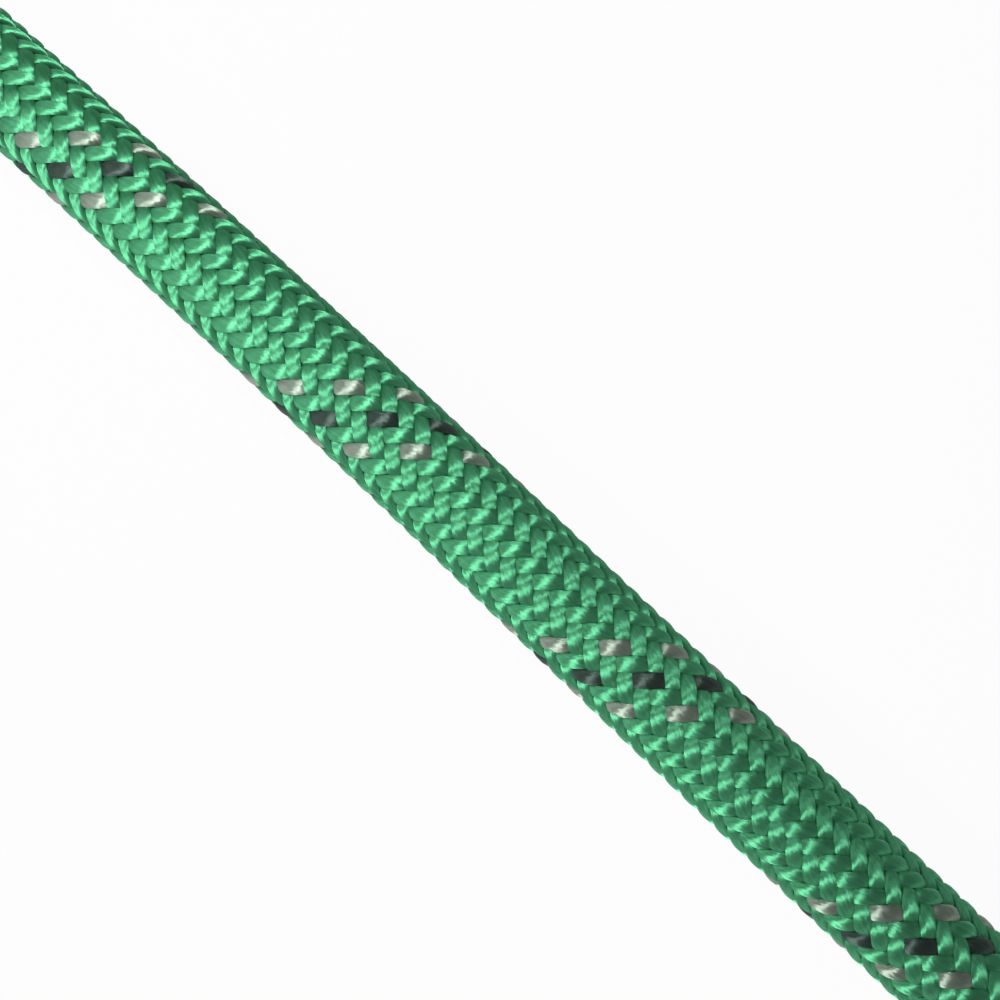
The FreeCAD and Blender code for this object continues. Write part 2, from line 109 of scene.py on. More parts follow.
def smooth(x):
    """From 0 to 1 as x does, with an eased start and end."""
    x = np.clip(x, 0.0, 1.0)
    return x * x * (3 - 2 * x)


def unit(vectors):
    return vectors / np.linalg.norm(vectors, axis=1, keepdims=True)


def run_length(points):
    """How far each point lies along the line, from its start."""
    return np.append(0.0, np.cumsum(np.linalg.norm(np.diff(points, axis=0), axis=1)))


def sampled(distance, stations, values):
    """Rows of values, read at distances between the stations where they are known."""
    return np.stack([np.interp(distance, stations, column) for column in values.T], 1)


# The rope's path


def coil_centre():
    join = np.array([*ROUTE[-1], 0.0])
    heading = math.radians(COIL_START - 90)
    inward = np.array([math.sin(heading), -math.cos(heading), 0.0])
    return join + inward * FIRST_TURN_RADIUS


COIL_CENTRE = coil_centre()


def turn_places():
    """Each turn's layer and row: up the first layer, down the next, and so on inwards."""
    places = []
    for layer, top in enumerate(LAYER_TOPS):
        lowest = 0.5 * (layer % 2)
        rows = np.arange(lowest, top + 0.5)
        if layer % 2:
            rows = rows[::-1]
        places.extend((layer, row) for row in rows)
    return np.array(places)


TURNS = turn_places()


def winding(turned):
    """The rope's distance from the coil's axis, height and angle after so many degrees of winding."""
    turn = np.clip(np.floor(turned / 360).astype(int), 0, len(TURNS) - 1)
    after = np.clip(turn + 1, 0, len(TURNS) - 1)
    angle = COIL_START - (turned % 360)
    angle = np.where(angle < 0, angle + 360, angle)
    start, end = CROSSING
    moved = smooth((start - angle) / (start - end))
    moved = np.where(angle > start, 0.0, np.where(angle <= COIL_START, 0.0, moved))
    layer = TURNS[turn, 0] * (1 - moved) + TURNS[after, 0] * moved
    row = TURNS[turn, 1] * (1 - moved) + TURNS[after, 1] * moved
    bulge = np.exp(-(((angle - (start + end) / 2) / CROSSING_WIDTH) ** 2))
    spacing = LAYER_PITCH * (1 + (CROSSING_SPREAD - 1) * bulge)
    radius = FIRST_TURN_RADIUS - layer * spacing
    height = ROPE_RADIUS + row * TURN_PITCH
    return radius, height, angle


def squeezed(radius, height, angle):
    """Turns drawn together where a strap goes round them."""
    pull = np.zeros_like(radius)
    for tie in TIE_ANGLES:
        away = np.abs((angle - tie + 180) % 360 - 180)
        along = np.radians(away) * radius
        pull = np.maximum(pull, 1 - smooth((along - TIE_WIDTH / 2) / (TIE_WIDTH * TIE_REACH)))
    scale = 1 - TIE_SQUEEZE * pull
    middle_radius, middle_height = COIL_MIDDLE
    return (
        middle_radius + (radius - middle_radius) * scale,
        middle_height + (height - middle_height) * scale,
    )


def coil_points():
    """Control points of the wound turns, evenly spaced by angle."""
    step = 360.0 / POINTS_PER_TURN
    last_sweep = COIL_START - INNER_END_ANGLE + math.degrees(INNER_END_LENGTH / LAST_TURN_RADIUS)
    total = (len(TURNS) - 1) * 360 + last_sweep
    turned = np.arange(step / 2, total, step)
    radius, height, angle = winding(turned)
    rng = np.random.default_rng(STRAY_SEED)
    stations = np.linspace(0, total, STRAY_POINTS)
    wander = np.interp(turned, stations, rng.normal(0, STRAY_OUT, STRAY_POINTS))
    rise = np.interp(turned, stations, rng.normal(0, STRAY_UP, STRAY_POINTS))
    calm = smooth(turned / CALM_TURNING) * smooth((total - CALM_END - turned) / CALM_TURNING)
    radius = radius + (wander - STRAY_MIDDLE) * calm
    height = height + np.abs(rise) * calm
    radius, height = squeezed(radius, height, angle)
    radius = radius / math.cos(math.radians(step / 2))
    turn = np.radians(angle)
    points = np.stack([np.cos(turn) * radius, np.sin(turn) * radius, height], 1)
    return points + COIL_CENTRE


def cord_line():
    """Points along the whole rope's centreline, read from its NURBS spline."""
    route = [(x, y, ROPE_RADIUS) for x, y in ROUTE]
    points = np.vstack([np.array(route), coil_points()])
    curve = bpy.data.curves.new("rope_line", "CURVE")
    curve.dimensions = "3D"
    curve.resolution_u = 16
    spline = curve.splines.new("NURBS")
    spline.points.add(len(points) - 1)
    for point, place in zip(spline.points, points):
        point.co = (*place, 1.0)
    spline.order_u = 3
    spline.use_endpoint_u = True
    holder = bpy.data.objects.new("rope_line", curve)
    mesh = bpy.data.meshes.new_from_object(holder)
    line = np.empty(len(mesh.vertices) * 3)
    mesh.vertices.foreach_get("co", line)
    bpy.data.objects.remove(holder)
    bpy.data.curves.remove(curve)
    bpy.data.meshes.remove(mesh)
    return line.reshape(-1, 3)


class Path:
    """Places along a line of points, by distance from its start."""

    SHORTEST_STEP = 1e-7

    def __init__(self, points):
        steps = np.linalg.norm(np.diff(points, axis=0), axis=1)
        self.points = points[np.append(True, steps > self.SHORTEST_STEP)]
        self.distance = run_length(self.points)
        self.length = self.distance[-1]
        self.tangents = unit(np.gradient(self.points, self.distance, axis=0))

    def at(self, distance):
        """Centre, and the unit vectors upwards and to the left of the way to the tip."""
        centre = sampled(distance, self.distance, self.points)
        along = unit(sampled(distance, self.distance, self.tangents))
        side = unit(np.cross(along, UP))
        return centre, np.cross(side, along), side


PATH = Path(cord_line())

# Meshes


def circle(up, side, columns):
    """Unit circles round a line, given the directions up and aside at each of its points."""
    turn = 2 * np.pi * np.arange(columns) / columns
    return up[:, None, :] * np.cos(turn)[None, :, None] + side[:, None, :] * np.sin(turn)[None, :, None]


def rounded_section(columns, across_power, out_power):
    """A section between an ellipse and a rectangle: places across it and outwards, from -1 to 1."""
    turn = 2 * np.pi * np.arange(columns) / columns
    across = np.sign(np.cos(turn)) * np.abs(np.cos(turn)) ** across_power
    out = np.sign(np.sin(turn)) * np.abs(np.sin(turn)) ** out_power
    return across, out


def tube_faces(tube, base):
    """A closed tube's faces, and the place of each face corner in its UV maps."""
    rows, columns = tube["rings"].shape[:2]
    index = base + np.arange(rows * columns).reshape(rows, columns)
    after = np.roll(index, -1, axis=1)
    quads = np.stack([index[:-1], after[:-1], after[1:], index[1:]], -1).reshape(-1, 4)
    faces = quads.tolist() + [index[0][::-1].tolist(), index[-1].tolist()]
    corners = {}
    for key, grid in tube["maps"].items():
        walls = np.stack([grid[:-1, :-1], grid[:-1, 1:], grid[1:, 1:], grid[1:, :-1]], 2)
        caps = [np.repeat(grid[row, :1], columns, axis=0) for row in (0, -1)]
        corners[key] = np.vstack([walls.reshape(-1, 2), *caps])
    return faces, corners


def lofted(name, tubes, materials):
    """One object of closed tubes: each has rings (rows, columns, 3), UV maps and perhaps a slot."""
    vertices, faces, slots = [], [], []
    maps = {}
    base = 0
    for tube in tubes:
        added, corners = tube_faces(tube, base)
        faces.extend(added)
        slots.extend([tube.get("slot", 0)] * len(added))
        vertices.append(tube["rings"].reshape(-1, 3))
        base += len(vertices[-1])
        for key, places in corners.items():
            maps.setdefault(key, []).append(places)
    mesh = bpy.data.meshes.new(name)
    mesh.from_pydata(np.vstack(vertices).tolist(), [], faces)
    for key, parts in maps.items():
        layer = mesh.uv_layers.new(name=key)
        layer.uv.foreach_set("vector", np.vstack(parts).astype(np.float32).ravel())
    mesh.polygons.foreach_set("use_smooth", np.ones(len(faces), bool))
    for material in materials:
        mesh.materials.append(material)
    mesh.polygons.foreach_set("material_index", np.array(slots, np.int32))
    mesh.update()
    piece = bpy.data.objects.new(name, mesh)
    bpy.context.collection.objects.link(piece)
    return piece


# Materials


class Surface:
    """A material in the making: its shader, and the nodes that feed it."""

    def __init__(self, name):
        self.material = bpy.data.materials.new(name)
        self.material.use_nodes = True
        self.nodes = self.material.node_tree.nodes
        self.links = self.material.node_tree.links
        self.shader = self.nodes["Principled BSDF"]

    def feed(self, socket, value):
        """Links a node's output to the socket, or sets a plain number or colour on it."""
        if isinstance(value, bpy.types.NodeSocket):
            self.links.new(value, socket)
        elif isinstance(value, tuple):
            socket.default_value = (*value, 1.0)
        else:
            socket.default_value = value

    def shade(self, inputs):
        for name, value in inputs.items():
            self.feed(self.shader.inputs[name], value)

    def formula(self, operation, *values):
        node = self.nodes.new("ShaderNodeMath")
        node.operation = operation
        for socket, value in zip(node.inputs, values):
            self.feed(socket, value)
        return node.outputs["Value"]

    def blend(self, share, start, end, kind="RGBA"):
        node = self.nodes.new("ShaderNodeMix")
        node.data_type = kind
        for name, value in (("Factor", share), ("A", start), ("B", end)):
            self.feed(node.inputs[name], value)
        return node.outputs["Result"]

    def uv(self, name):
        node = self.nodes.new("ShaderNodeUVMap")
        node.uv_map = name
        return node.outputs["UV"]

    def parted(self, vector):
        node = self.nodes.new("ShaderNodeSeparateXYZ")
        self.links.new(vector, node.inputs["Vector"])
        return node.outputs["X"], node.outputs["Y"]

    def noise(self, vector, scale, detail):
        node = self.nodes.new("ShaderNodeTexNoise")
        node.inputs["Scale"].default_value = scale
        node.inputs["Detail"].default_value = detail
        self.links.new(vector, node.inputs["Vector"])
        return node.outputs["Fac"]

    def streaks(self, uv, along, across, detail):
        """Noise with so many marks to a millimetre along the map's first axis and across it."""
        node = self.nodes.new("ShaderNodeMapping")
        node.inputs["Scale"].default_value = (along, across, 1.0)
        self.links.new(uv, node.inputs["Vector"])
        return self.noise(node.outputs["Vector"], 1.0, detail)

    def bump(self, height, strength, distance):
        node = self.nodes.new("ShaderNodeBump")
        node.inputs["Strength"].default_value = strength
        node.inputs["Distance"].default_value = distance
        self.links.new(height, node.inputs["Height"])
        self.links.new(node.outputs["Normal"], self.shader.inputs["Normal"])


def fibre_material(name, dark, light):
    """Satin filaments that run along the fibre map's first axis."""
    surface = Surface(name)
    uv = surface.uv("fibre")
    streaks = surface.streaks(uv, along=0.3, across=5.0, detail=3.0)
    ripples = surface.streaks(uv, along=0.7, across=5.0, detail=2.0)
    surface.bump(ripples, strength=1.0, distance=0.11 * MM)
    tangent = surface.nodes.new("ShaderNodeTangent")
    tangent.direction_type = "UV_MAP"
    tangent.uv_map = "fibre"
    surface.shade({
        "Base Color": surface.blend(streaks, dark, light),
        "Tangent": tangent.outputs["Tangent"],
        "Metallic": 0.84,
        "Roughness": 0.53,
        "Specular IOR Level": 0.25,
        "Anisotropic": 1.0,
        "Anisotropic Rotation": 0.25,
    })
    return surface.material


def plain_material(name, colour, roughness):
    surface = Surface(name)
    surface.shade({"Base Color": colour, "Roughness": roughness})
    return surface.material


# The braid that is drawn on the coil
COIL_GREEN = (0.075, 0.36, 0.17)
COIL_GREY = (0.36, 0.39, 0.33)
COIL_CHARCOAL = (0.02, 0.026, 0.028)
COIL_SHADOW = (0.008, 0.04, 0.02)
SHADOW_POWER = 0.7
CROWN_POWER = 0.5
PILLOW_POWER = 0.4
SAME_STRAND = 0.1


def one_of(formula, strand, numbers):
    """1 where the strand's number is one of these, and 0 elsewhere."""
    found = [formula("COMPARE", strand, float(number), SAME_STRAND) for number in numbers]
    total = found[0]
    for other in found[1:]:
        total = formula("ADD", total, other)
    return total


def float_height(formula, run, across):
    """A float's height: a crown along the two strands that it passes over, and a pillow across it."""
    crown = formula("SINE", formula("MULTIPLY", formula("MULTIPLY", run, 0.5), math.pi))
    crown = formula("POWER", formula("MAXIMUM", crown, 0.0), CROWN_POWER)
    pillow = formula("POWER", formula("SINE", formula("MULTIPLY", across, math.pi)), PILLOW_POWER)
    return formula("MULTIPLY", crown, pillow)


def braid_material(name, start_turns):
    """The same braid, drawn by formula on the wound turns: leads run along u and once round is v."""
    surface = Surface(name)
    formula = surface.formula
    u, around = surface.parted(surface.uv("OFBake"))
    along = formula("SUBTRACT", start_turns, u)
    left = formula("MULTIPLY", formula("SUBTRACT", around, along), float(STRANDS_EACH_WAY))
    left = formula("ADD", left, 0.5)
    right = formula("MULTIPLY", formula("ADD", around, along), float(STRANDS_EACH_WAY))
    left_strand = formula("FLOOR", left)
    right_strand = formula("FLOOR", right)
    crossing = formula("ADD", formula("ADD", left_strand, right_strand), 1.0)
    left_over = formula("LESS_THAN", formula("FLOORED_MODULO", crossing, STRANDS_PER_REPEAT), 1.5)
    left_run = formula("ADD", formula("ADD", right, left_strand), 1.0)
    left_run = formula("FLOORED_MODULO", left_run, STRANDS_PER_REPEAT)
    right_run = formula("SUBTRACT", formula("ADD", left, right_strand), 1.0)
    right_run = formula("FLOORED_MODULO", right_run, STRANDS_PER_REPEAT)
    left_height = float_height(formula, left_run, formula("FRACT", left))
    right_height = float_height(formula, right_run, formula("FRACT", right))
    height = surface.blend(left_over, right_height, left_height, "FLOAT")
    tracer = formula("FLOORED_MODULO", left_strand, float(STRANDS_EACH_WAY))
    grey = formula("MULTIPLY", one_of(formula, tracer, GREY_STRANDS), left_over)
    charcoal = formula("MULTIPLY", one_of(formula, tracer, CHARCOAL_STRANDS), left_over)
    colour = surface.blend(grey, COIL_GREEN, COIL_GREY)
    colour = surface.blend(charcoal, colour, COIL_CHARCOAL)
    colour = surface.blend(formula("POWER", height, SHADOW_POWER), COIL_SHADOW, colour)
    surface.bump(height, strength=1.0, distance=0.3 * MM)
    surface.shade({"Base Color": colour, "Metallic": 0.35, "Roughness": 0.42})
    return surface.material


# The webbing's threads and ribs, in the weave map's millimetres
THREAD_WIDTH = 1.25
RIB_LENGTH = 1.6
RIB_POWER = 0.6


def webbing_material(name, dark, light):
    """Ribbed webbing: threads run along u, ribs lie across it, in millimetres; painted shade darkens the
    colour in the hollows between them.
    """
    surface = Surface(name)
    formula = surface.formula
    along, across = surface.parted(surface.uv("weave"))
    across = formula("DIVIDE", across, THREAD_WIDTH)
    shift = formula("MULTIPLY", formula("FLOORED_MODULO", formula("FLOOR", across), 2.0), 0.5)
    rib = formula("FRACT", formula("ADD", formula("DIVIDE", along, RIB_LENGTH), shift))
    rib = formula("SINE", formula("MULTIPLY", rib, math.pi))
    thread = formula("SINE", formula("MULTIPLY", formula("FRACT", across), math.pi))
    height = formula("MULTIPLY", formula("POWER", rib, RIB_POWER), formula("POWER", thread, RIB_POWER))
    surface.bump(height, strength=1.0, distance=0.25 * MM)
    # Painted shade: the colour goes from dark down in the hollows to light on the threads' and ribs' tops.
    surface.shade({"Base Color": surface.blend(height, dark, light), "Roughness": 0.6})
    return surface.material


def yarn_material(name, dark, light):
    """Fine filaments laid at a slant to the piece, as in plied yarn."""
    surface = Surface(name)
    streaks = surface.streaks(surface.uv("fibre"), along=0.3, across=4.0, detail=3.0)
    surface.bump(streaks, strength=0.6, distance=0.1 * MM)
    surface.shade({"Base Color": surface.blend(streaks, dark, light), "Roughness": 0.55})
    return surface.material


def moulded_material(name, dark, light, roughness, grain):
    """Plastic with a slightly uneven surface."""
    surface = Surface(name)
    place = surface.nodes.new("ShaderNodeTexCoord")
    noise = surface.noise(place.outputs["Object"], grain, 4.0)
    surface.bump(noise, strength=0.4, distance=0.15 * MM)
    surface.shade({"Base Color": surface.blend(noise, dark, light), "Roughness": roughness})
    return surface.material


GREEN = fibre_material("green_fibre", (0.048, 0.24, 0.122), (0.14, 0.58, 0.295))
GREY = fibre_material("grey_fibre", (0.2, 0.255, 0.205), (0.4, 0.49, 0.4))
CHARCOAL = fibre_material("charcoal_fibre", (0.035, 0.054, 0.046), (0.085, 0.13, 0.108))
WEBBING = webbing_material("tie_webbing", (0.004, 0.004, 0.005), (0.03, 0.031, 0.034))
STITCH = plain_material("tie_stitching", (0.06, 0.062, 0.066), 0.5)
CORE_YARN = yarn_material("core_yarn", (0.62, 0.6, 0.54), (0.9, 0.89, 0.84))
THREAD = yarn_material("marker_yarn", (0.45, 0.1, 0.01), (0.75, 0.2, 0.02))
SLEEVE = moulded_material("end_sleeve", (0.012, 0.013, 0.014), (0.035, 0.037, 0.04), 0.38, 900.0)
FUSED = moulded_material("fused_tip", (0.006, 0.035, 0.018), (0.03, 0.11, 0.055), 0.2, 500.0)

# The braid's phase: where a tracer's float lies, and how the lead and the tracers drift from there.
VIEW_START = np.array([-44.05 * MM, -112.62 * MM, ROPE_RADIUS])
VIEW_LENGTH = 124.0 * MM
VIEW_MARGIN = 10.0 * MM
PHASE_START = 8.21 * MM
PHASE_LEAD = 32.25 * MM
PHASE_TIGHTENING = -0.53 * MM
COLUMN_TURN = (10.65, -3.56, -0.57)
COLUMN_SPAN = (-1.0, 4.5)
SEARCH_LENGTH = 0.5
SEARCH_STEP = 0.05 * MM


def nearest_distance(place):
    distance = np.arange(0, SEARCH_LENGTH, SEARCH_STEP)
    centre = PATH.at(distance)[0]
    return distance[np.argmin(np.linalg.norm(centre - place, axis=1))]


VIEW_DISTANCE = nearest_distance(VIEW_START)


def braid_turns(distance):
    """How many leads the braid has made, counted towards the tip from a tracer's float."""
    back = VIEW_DISTANCE - distance
    inside = np.clip(back, -VIEW_MARGIN, VIEW_LENGTH)
    root = np.sqrt(PHASE_LEAD**2 - 4 * PHASE_TIGHTENING * (PHASE_START - inside))
    return (root - PHASE_LEAD) / (2 * PHASE_TIGHTENING) + (back - inside) / BRAID_LEAD


def column_turn(turns):
    """Degrees by which the whole braid is turned round the rope, after so many leads."""
    start, slope, bend = COLUMN_TURN
    turns = np.clip(turns, *COLUMN_SPAN)
    return start + slope * turns + bend * turns**2


TIP_TURNS = float(braid_turns(np.zeros(1))[0])

# The sheath's strands, from under the free end's sleeve to just inside the coil
COIL_OVERLAP = 6 * MM
TAIL_LENGTH = nearest_distance(np.array([*ROUTE[-1], ROPE_RADIUS])) + COIL_OVERLAP
SLEEVE_END = 30.9 * MM
SLEEVE_EASE = 5 * MM
SLEEVE_SQUEEZE = 0.62 * MM
STRANDS_START = 28.0 * MM
STRAND_WIDTH = 1.36 * MM
STRAND_THICKNESS = 0.58 * MM
STRAND_LIFT = 0.27 * MM
STRAND_NARROWING = 0.1
STRAND_SECTION = (0.7, 1.1)
STRAND_COLUMNS = 14
NEAR_STEP = 0.2 * MM
FAR_STEP = 0.42 * MM
LEFT_PIECES = 3
RIGHT_PIECES = 4

# The fibres' twist for each way round, and the fibre map's width and shift, in its millimetres
YARN_TWIST = {1: math.radians(22), -1: math.radians(18)}
STRAND_GIRTH = 3.3
FIBRE_SHIFT = 7.3


def strand_stations():
    """Distances of a strand's rings, closer together where it is seen from near."""
    start = VIEW_DISTANCE - VIEW_LENGTH
    end = VIEW_DISTANCE + VIEW_MARGIN
    return np.concatenate([
        np.arange(STRANDS_START, start, FAR_STEP),
        np.arange(start, end, NEAR_STEP),
        np.arange(end, TAIL_LENGTH, FAR_STEP),
    ])


def strand_line(way, number, distance):
    """A strand's middle, the way outwards there, and its wave from under, -1, to over, 1."""
    turns = braid_turns(distance)
    offset = 0.0 if way > 0 else 0.5
    angle = np.radians(way * 360 * turns + STRAND_STEP * (number + offset) + column_turn(turns))
    phase = REPEATS_PER_LEAD * turns + (number / 2 if way > 0 else 0.25 - number / 2)
    wave = np.cos(2 * np.pi * phase)
    lift = np.tanh(wave) / math.tanh(1.0)
    sleeve = smooth((distance - SLEEVE_END) / SLEEVE_EASE)
    radius = BRAID_RADIUS - SLEEVE_SQUEEZE * (1 - sleeve) + STRAND_LIFT * lift * (0.5 + 0.5 * sleeve)
    centre, up, side = PATH.at(distance)
    outward = up * np.cos(angle)[:, None] + side * np.sin(angle)[:, None]
    return centre + outward * radius[:, None], outward, wave


def fibre_map(line, twist, shift):
    """A map in millimetres whose first axis follows fibres twisted round the strand."""
    girth = np.arange(STRAND_COLUMNS + 1) / STRAND_COLUMNS * STRAND_GIRTH
    u, v = np.meshgrid(run_length(line) / MM, girth, indexing="ij")
    along = u * math.cos(twist) + v * math.sin(twist)
    across = -u * math.sin(twist) + v * math.cos(twist)
    return np.stack([along, across + shift], -1)


def strand_tube(way, number):
    """One sheath strand of the free end: way is 1 for one direction round and -1 for the other."""
    line, outward, wave = strand_line(way, number, strand_stations())
    ahead = unit(np.gradient(line, axis=0))
    across = unit(np.cross(outward, ahead))
    outward = np.cross(ahead, across)
    places_across, places_out = rounded_section(STRAND_COLUMNS, *STRAND_SECTION)
    width = STRAND_WIDTH / 2 * (1 - STRAND_NARROWING + STRAND_NARROWING * smooth(wave + 0.5))
    rings = (
        line[:, None, :]
        + across[:, None, :] * (places_across[None, :] * width[:, None])[:, :, None]
        + outward[:, None, :] * (places_out * (STRAND_THICKNESS / 2))[None, :, None]
    )
    fibre = fibre_map(line, way * YARN_TWIST[way], FIBRE_SHIFT * number)
    return {"rings": rings, "maps": {"fibre": fibre}}


def make_braid():
    """The sheath's green strands, shared out among a few pieces each way round, and its tracers."""
    tracers = GREY_STRANDS + CHARCOAL_STRANDS
    left = [number for number in range(STRANDS_EACH_WAY) if number not in tracers]
    right = list(range(STRANDS_EACH_WAY))
    pieces = []
    for way, side, numbers, parts in ((1, "left", left, LEFT_PIECES), (-1, "right", right, RIGHT_PIECES)):
        for part in range(parts):
            tubes = [strand_tube(way, number) for number in numbers[part::parts]]
            pieces.append(lofted(f"sheath_strands_{side}_{part + 1}", tubes, [GREEN]))
    for name, numbers, material in (("grey", GREY_STRANDS, GREY), ("charcoal", CHARCOAL_STRANDS, CHARCOAL)):
        tubes = [strand_tube(1, number) for number in numbers]
        pieces.append(lofted(f"sheath_tracers_{name}", tubes, [material]))
    return pieces


# The cord: under the free end's strands, in the coil, and under the inner end's sleeve
CORD_COLUMNS = 14
TAIL_RING_STEP = 3 * MM
TURNS_RING_STEP = 8.6 * MM
TAIL_CORD_RADIUS = 4.12 * MM
TURNS_CORD_RADIUS = 4.86 * MM
SLEEVED_CORD_RADIUS = 4.33 * MM
BRAID_OVERLAP = 4 * MM


def make_cord():
    """The whole rope as one tube, thinner where the free end's strands lie on it."""
    tail = np.arange(0, TAIL_LENGTH, TAIL_RING_STEP)
    coil = np.arange(TAIL_LENGTH, PATH.length, TURNS_RING_STEP)
    distance = np.concatenate([tail, coil, [PATH.length]])
    in_tail = distance < TAIL_LENGTH - BRAID_OVERLAP
    in_sleeve = distance > PATH.length - SLEEVE_END
    radius = np.where(in_tail, TAIL_CORD_RADIUS, TURNS_CORD_RADIUS)
    radius = np.where(in_sleeve, SLEEVED_CORD_RADIUS, radius)
    centre, up, side = PATH.at(distance)
    rings = centre[:, None, :] + circle(up, side, CORD_COLUMNS) * radius[:, None, None]
    turns = braid_turns(distance)
    round_share = np.arange(CORD_COLUMNS + 1) / CORD_COLUMNS
    u, v = np.meshgrid(TIP_TURNS - turns, round_share, indexing="ij")
    v = v - column_turn(turns)[:, None] / 360
    braid = braid_material("rope_braid", TIP_TURNS)
    return lofted("rope", [{"rings": rings, "maps": {"OFBake": np.stack([u, v], -1)}}], [braid])


# The core
INNER_STRANDS = 3
OUTER_STRANDS = 9
OUTER_STRAND_TURN = 20.0
CORE_RADIUS = 3.75 * MM
STRAND_SHARE = 0.2395
CORE_START = 0.4 * MM
CORE_MARGIN = 8 * MM
CORE_RINGS = 170
CORE_COLUMNS = 12
PLY_LEAD = 16.0 * MM
PLY_GROOVE = 0.09
PLIES = 3
THREAD_RADIUS = 0.36 * MM
THREAD_PLIES = 2
FIBRE_SLANT = 0.4


def core_tube(distance, ring_radius, angle, radius, plies):
    """A strand of twisted plies that runs beside the rope's centreline."""
    centre, up, side = PATH.at(distance)
    line = centre + (up * math.cos(angle) + side * math.sin(angle)) * ring_radius
    turn = 2 * np.pi * np.arange(CORE_COLUMNS) / CORE_COLUMNS
    twist = 2 * np.pi * distance / PLY_LEAD
    lobes = 1 - PLY_GROOVE * (1 - np.cos(plies * (turn[None, :] - twist[:, None])))
    rings = line[:, None, :] + circle(up, side, CORE_COLUMNS) * (radius * lobes)[:, :, None]
    girth = np.arange(CORE_COLUMNS + 1) / CORE_COLUMNS * 2 * math.pi * radius / MM
    u, v = np.meshgrid(distance / MM, girth, indexing="ij")
    fibre = np.stack([u + FIBRE_SLANT * v, v - FIBRE_SLANT * u], -1)
    return {"rings": rings, "maps": {"fibre": fibre}}


def make_core():
    """The strands in the middle, those round them, and the thread between them all."""
    distance = np.linspace(CORE_START, TAIL_LENGTH - CORE_MARGIN, CORE_RINGS)
    strand_radius = CORE_RADIUS * STRAND_SHARE
    inner_ring = strand_radius / math.sin(math.pi / INNER_STRANDS)
    places = [(inner_ring, 360.0 / INNER_STRANDS * k) for k in range(INNER_STRANDS)]
    outer_ring = CORE_RADIUS - strand_radius
    step = 360.0 / OUTER_STRANDS
    places += [(outer_ring, OUTER_STRAND_TURN + step * k) for k in range(OUTER_STRANDS)]
    for number, (ring, angle) in enumerate(places, start=1):
        tube = core_tube(distance, ring, math.radians(angle), strand_radius, PLIES)
        name = f"core_strand_{number:02d}"
        piece = lofted(f"plied_{name}", [tube], [CORE_YARN])
        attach(piece, "root")
        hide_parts(name)
    tube = core_tube(distance, 0.0, 0.0, THREAD_RADIUS, THREAD_PLIES)
    thread = lofted("plied_marker_thread", [tube], [THREAD])
    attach(thread, "root")
    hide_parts("marker_thread")


# The straps, round the coil's section
COIL_OUTER = FIRST_TURN_RADIUS + ROPE_RADIUS
COIL_INNER = LAST_TURN_RADIUS - ROPE_RADIUS
COIL_HEIGHT = 91.0 * MM
COIL_SHOULDER = ROPE_RADIUS * (1 + math.tan(math.radians(30))) + LAYER_TOPS[0] * TURN_PITCH
SLOPE_RUN = (COIL_HEIGHT - COIL_SHOULDER) * math.sqrt(3)
EDGE_CUT = ROPE_DIAMETER * (1 - math.sqrt(0.5))
CORNER_EASE = 0.15
SECTION_STEP = 1.0 * MM
STRAP_SECTION = (0.35, 0.5)
STRAP_COLUMNS = 16

# A strap's overlap, sunk a little into the band below it
LAP_LENGTH = 36.0 * MM
LAP_THICKNESS = 1.2 * MM
LAP_MARGIN = 1.5 * MM
LAP_SINK = 0.1 * MM

# Its stitches, in steps of a millimetre along the strap
STITCH_STEPS = np.array([-1.0, -0.85, -0.4, 0.0, 0.4, 0.85, 1.0])
STITCH_GIRTHS = np.array([0.25, 0.7, 1.0, 1.05, 1.0, 0.7, 0.25])
STITCH_RADIUS = 0.28 * MM
STITCH_REACH = 1.15 * MM
STITCH_ARCH = 0.1 * MM
STITCH_BEND = 1.4
STITCH_LIFT = 0.02 * MM
STITCH_COLUMNS = 6
STITCH_PITCH = 3
ROW_MARGIN = 2 * MM
CROSS_ROW = np.arange(-5.0, 5.1, 2.5)


def section_outline():
    """The coil's section as a closed line of corners with their edges cut, distance out and height."""
    corners = np.array([
        (COIL_INNER, 0.0),
        (COIL_OUTER, 0.0),
        (COIL_OUTER, COIL_SHOULDER),
        (COIL_OUTER - SLOPE_RUN, COIL_HEIGHT),
        (COIL_INNER + SLOPE_RUN, COIL_HEIGHT),
        (COIL_INNER, COIL_SHOULDER),
    ])
    points = []
    for index, corner in enumerate(corners):
        for other in (corners[index - 1], corners[(index + 1) % len(corners)]):
            way = (other - corner) / np.linalg.norm(other - corner)
            points.append(corner + way * EDGE_CUT)
    return np.array(points)


def rounded_loop(points, inset):
    """The closed line moved inwards with its corners eased, and the ways ahead and outwards along it."""
    for _ in range(2):
        after = np.roll(points, -1, axis=0)
        near = points * (1 - CORNER_EASE) + after * CORNER_EASE
        far = points * CORNER_EASE + after * (1 - CORNER_EASE)
        points = np.stack([near, far], 1).reshape(-1, 2)
    closed = np.vstack([points, points[:1]])
    stations = run_length(closed)
    loop = sampled(np.arange(0, stations[-1], SECTION_STEP), stations, closed)
    ahead = unit(np.roll(loop, -1, axis=0) - np.roll(loop, 1, axis=0))
    inwards = np.stack([-ahead[:, 1], ahead[:, 0]], 1)
    return loop + inwards * inset, ahead, -inwards


def strap_ways(angle):
    """The ways out from the coil's axis and aside, at the strap's angle."""
    way = math.radians(angle)
    away = np.array([math.cos(way), math.sin(way), 0.0])
    aside = np.array([-math.sin(way), math.cos(way), 0.0])
    return away, aside


